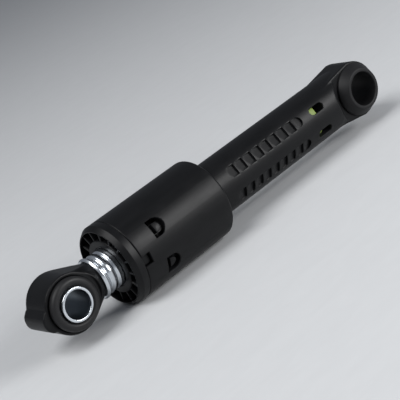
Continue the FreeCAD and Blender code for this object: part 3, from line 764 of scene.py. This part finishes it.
# Rod bush: black rubber, moulded onto the sleeve and pressed into the rod eye. It has a bulged flange on
# each side, and a dip there leaves the sleeve's end clear.
RUBBER_INSIDE = 7.2 * MM
RUBBER_BODY = 9.15 * MM
RUBBER_FLANGE = 11.1 * MM
RUBBER_HALF = 11.4 * MM
RUBBER_NECK = 10.6 * MM
RUBBER_NECK_END = 7.9 * MM
RUBBER_FLANGE_START = 8.5 * MM
RUBBER_DIP_RADIUS = 8.4 * MM
RUBBER_DIP = 1.3 * MM
RUBBER_ROUND = 1.9 * MM
RUBBER_DIP_ROUND = 1.0 * MM
half_section = [(ROD_EYE_SEAT, RUBBER_BODY), (ROD_EYE_SEAT, RUBBER_NECK),
                (RUBBER_NECK_END, RUBBER_NECK, 0.3 * MM), (RUBBER_FLANGE_START, RUBBER_FLANGE, 0.5 * MM),
                (RUBBER_HALF, RUBBER_FLANGE, RUBBER_ROUND),
                (RUBBER_HALF, RUBBER_DIP_RADIUS, RUBBER_DIP_ROUND),
                (RUBBER_HALF - RUBBER_DIP, RUBBER_INSIDE, 0.2 * MM)]
rod_bush = lathe("rod_bush_moulding", both_ways(half_section), axis="Y", centre=ROD_EYE_PLACE, steps=8)
fit(shade(rod_bush), BLACK_RUBBER, "rod", "rod_bush")


# Rod sleeve: a turned steel sleeve, zinc plated, in the middle of the rubber bush. The machine's bolt goes
# through it and clamps its ends.
SLEEVE_BORE = 6.0 * MM
SLEEVE_RADIUS = 7.15 * MM
SLEEVE_HALF = 12.0 * MM
SLEEVE_EDGE = 0.35 * MM
# Where the painted shade in the bore starts: short of each mouth, and just outside the bore's wall
UNSHADED_MOUTH = 0.6 * MM
SHADE_SKIN = 0.05 * MM
half_section = [(SLEEVE_HALF, SLEEVE_RADIUS, SLEEVE_EDGE), (SLEEVE_HALF, SLEEVE_BORE, SLEEVE_EDGE)]
sleeve = lathe("rod_sleeve_turned", both_ways(half_section), axis="Y", centre=ROD_EYE_PLACE)
# The sleeve's bore is painted dark as painted shade, from its wall to short of its mouths
ZINC_SLEEVE = zinc_plate("zinc_sleeve", (0.66, 0.69, 0.73), (0.78, 0.82, 0.86), 0.22, "Y", ROD_EYE_PLACE,
                         shaded_bore=SLEEVE_BORE + SHADE_SKIN, shaded_half=SLEEVE_HALF - UNSHADED_MOUTH)
fit(shade(sleeve), ZINC_SLEEVE, "rod", "rod_sleeve")


# End cap: black moulding that closes the barrel. Its hub holds the guide ring and the wiper, thin ribs
# stiffen the recess round the hub, and four springy tongues snap their noses into the barrel's D windows.
CAP_END = 157.4 * MM
CAP_BEVEL = (2.2 * MM, 1.5 * MM)
CAP_EDGE = 0.4 * MM
CAP_RIM_BORE = 17.0 * MM
RECESS_FACE = 152.6 * MM
CAP_INNER_FACE = 150.0 * MM
HUB_ENDS = (145.5 * MM, 156.6 * MM)
HUB_RADIUS = 12.6 * MM
HUB_BORE = 10.9 * MM
ROD_CLEAR = 9.4 * MM
WIPER_ENDS = (152.5 * MM, 155.5 * MM)
GUIDE_END = 151.5 * MM
SKIRT_END = 143.0 * MM
SKIRT_RADIUS = 16.45 * MM
SKIRT_BORE = 14.6 * MM
TONGUE_END = 133.0 * MM
TONGUE_HALF = math.radians(8)
TONGUE_INSET = 0.1 * MM
NOSE_GAP = 1.9 * MM
NOSE_RADIUS = 18.2 * MM
KEY_GAP = 0.2 * MM
KEY_RADIUS = 17.1 * MM
RIB_COUNT = 16
RIB_WIDTH = 1.0 * MM
RIB_EDGE = 0.3 * MM
RIB_TOP = 156.4 * MM
SINK = 0.3 * MM
cap = lathe("end_cap_moulding", [
    (HUB_ENDS[0], HUB_BORE), (GUIDE_END, HUB_BORE), (GUIDE_END, ROD_CLEAR), (WIPER_ENDS[0], ROD_CLEAR),
    (WIPER_ENDS[0], HUB_BORE), (WIPER_ENDS[1], HUB_BORE), (WIPER_ENDS[1], ROD_CLEAR),
    (HUB_ENDS[1], ROD_CLEAR, 0.3 * MM), (HUB_ENDS[1], HUB_RADIUS, CAP_EDGE),
    (RECESS_FACE, HUB_RADIUS, CAP_EDGE), (RECESS_FACE, CAP_RIM_BORE, CAP_EDGE),
    (CAP_END, CAP_RIM_BORE, 0.25 * MM), (CAP_END, BARREL_RADIUS - CAP_BEVEL[1], 0.2 * MM),
    (CAP_END - CAP_BEVEL[0], BARREL_RADIUS, CAP_EDGE), (BARREL_END, BARREL_RADIUS, JOINT_ROUND),
    (BARREL_END, SKIRT_RADIUS), (SKIRT_END, SKIRT_RADIUS, 0.3 * MM), (SKIRT_END, SKIRT_BORE),
    (CAP_INNER_FACE, SKIRT_BORE), (CAP_INNER_FACE, HUB_RADIUS), (HUB_ENDS[0], HUB_RADIUS)])

rib_section = rounded([(RECESS_FACE - SINK, -RIB_WIDTH / 2), (RIB_TOP, -RIB_WIDTH / 2, RIB_EDGE),
                       (RIB_TOP, RIB_WIDTH / 2, RIB_EDGE), (RECESS_FACE - SINK, RIB_WIDTH / 2)])
rib = loft("ribs", [sideways(rib_section, HUB_RADIUS - SINK), sideways(rib_section, CAP_RIM_BORE + SINK)])
repeat(rib, BLACK_PLASTIC, RIB_COUNT, math.pi / RIB_COUNT)

tongue_turns = evenly(TONGUE_HALF)
tongue_faces = ((SKIRT_BORE + TONGUE_INSET, tongue_turns), (SKIRT_RADIUS - TONGUE_INSET, tongue_turns[::-1]))
tongue_wall = [(radius * math.cos(turn), radius * math.sin(turn))
               for radius, face_turns in tongue_faces for turn in face_turns]
tongue_ends = (TONGUE_END, SKIRT_END + SINK)
tongue = loft("tongues", [[(place, *point) for point in tongue_wall] for place in tongue_ends])
repeat(tongue, BLACK_PLASTIC, ROW_COUNT, ROW_ANGLE)

nose_rings = ((0, SKIRT_RADIUS - 2 * SINK), (0, NOSE_RADIUS - SINK), (0.3 * SINK, NOSE_RADIUS - 0.3 * SINK),
              (SINK, NOSE_RADIUS))
nose = loft("noses", [outwards(latch_shape(NOSE_GAP + draw), radius) for draw, radius in nose_rings])
repeat(nose, BLACK_PLASTIC, ROW_COUNT, ROW_ANGLE)

key_rings = ((KEY_GAP, SKIRT_RADIUS - 2 * SINK), (KEY_GAP, KEY_RADIUS - SINK), (KEY_GAP + SINK, KEY_RADIUS))
keys = [loft(f"key_{side}", [outwards(notch_shape(gap, SINK), radius, side) for gap, radius in key_rings])
        for side in (1, -1)]
combine(cap, "UNION", rib, tongue, nose, *keys)
fit(shade(cap), BLACK_PLASTIC, "housing", "end_cap")


# Guide ring and wiper: a plain bearing of natural plastic that guides the rod, and a ring of pressed felt
# that keeps dirt out. Both are pushed into the cap's hub.
def felt(name, colour, lighter):
    """Pressed felt: tangled short fibres."""
    material, wire, shader = new_material(name)
    place = wire.node("ShaderNodeTexCoord", output="Object")
    fibres = wire.node("ShaderNodeTexNoise",
                       {"Vector": place, "Scale": 2600, "Detail": 6, "Distortion": 3.0})
    fibres.mix(colour, lighter).feed(shader, "Base Color")
    relief = wire.node("ShaderNodeBump", {"Strength": 0.7, "Distance": 0.12 * MM, "Height": fibres})
    relief.feed(shader, "Normal")
    shader.inputs["Roughness"].default_value = 0.95
    return material


NATURAL_PLASTIC = moulded_plastic("natural_plastic", (0.72, 0.71, 0.65), (0.82, 0.81, 0.76), 0.4, grain=0.15)
dress(NATURAL_PLASTIC, "guide_ring")
dress(felt("grey_felt", (0.26, 0.26, 0.26), (0.42, 0.42, 0.42)), "wiper_ring")


# Floor, light and camera: a pale sheet, a broad soft light in front, one above, and a lens that stands where
# the picture was taken from.
FLOOR_HALF = 4.0
DAMPER_MIDDLE = Vector((90 * MM, 0, 0))
floor_corners = [(FLOOR_HALF * along, FLOOR_HALF * side, HOUSING_LOW.z)
                 for along, side in ((-1, -1), (1, -1), (1, 1), (-1, 1))]
floor = new_piece("floor", floor_corners, [(0, 1, 2, 3)])
FLOOR_PAPER = moulded_plastic("floor_paper", (0.58, 0.59, 0.60), (0.62, 0.63, 0.64), 0.85, grain=0.0,
                              reflection=0.2)
floor.data.materials.append(FLOOR_PAPER)


def soft_light(name, direction, distance, width, height, power):
    """A soft lamp that looks at the middle of the damper from a direction."""
    lamp = bpy.data.lights.new(name, "AREA")
    lamp.shape = "RECTANGLE"
    lamp.size = width
    lamp.size_y = height
    lamp.energy = power
    holder = bpy.data.objects.new(name, lamp)
    holder.location = DAMPER_MIDDLE + Vector(direction).normalized() * distance
    holder.rotation_euler = Vector(direction).to_track_quat("Z", "Y").to_euler()
    bpy.context.scene.collection.objects.link(holder)


soft_light("front_light", (-0.50, 0.78, 0.37), distance=1.0, width=0.7, height=0.4, power=9)
soft_light("top_light", (0.55, 0.05, 0.85), distance=1.3, width=0.8, height=0.8, power=12.5)
world = bpy.data.worlds.new("studio")
world.use_nodes = True
surround = world.node_tree.nodes["Background"]
surround.inputs["Color"].default_value = (0.85, 0.9, 1.0, 1)
surround.inputs["Strength"].default_value = 0.2
bpy.context.scene.world = world
bpy.context.scene.view_settings.view_transform = "Standard"

FOCAL_PIXELS = 1177.72
FRAME_PIXELS = 400
CAMERA_PLACE = (0.36864, 0.40948, 0.15861)
PICTURE_RIGHT = Vector((-0.6838, 0.6036, -0.4100))
PICTURE_UP = Vector((-0.5135, 0.0011, 0.8581))
camera_data = bpy.data.cameras.new("camera")
camera_data.sensor_width = 36
camera_data.lens = camera_data.sensor_width * FOCAL_PIXELS / FRAME_PIXELS
camera = bpy.data.objects.new("camera", camera_data)
camera_turn = Matrix((PICTURE_RIGHT, PICTURE_UP, PICTURE_RIGHT.cross(PICTURE_UP))).transposed()
camera.matrix_world = Matrix.Translation(CAMERA_PLACE) @ camera_turn.to_4x4()
bpy.context.scene.collection.objects.link(camera)
bpy.context.scene.camera = camera
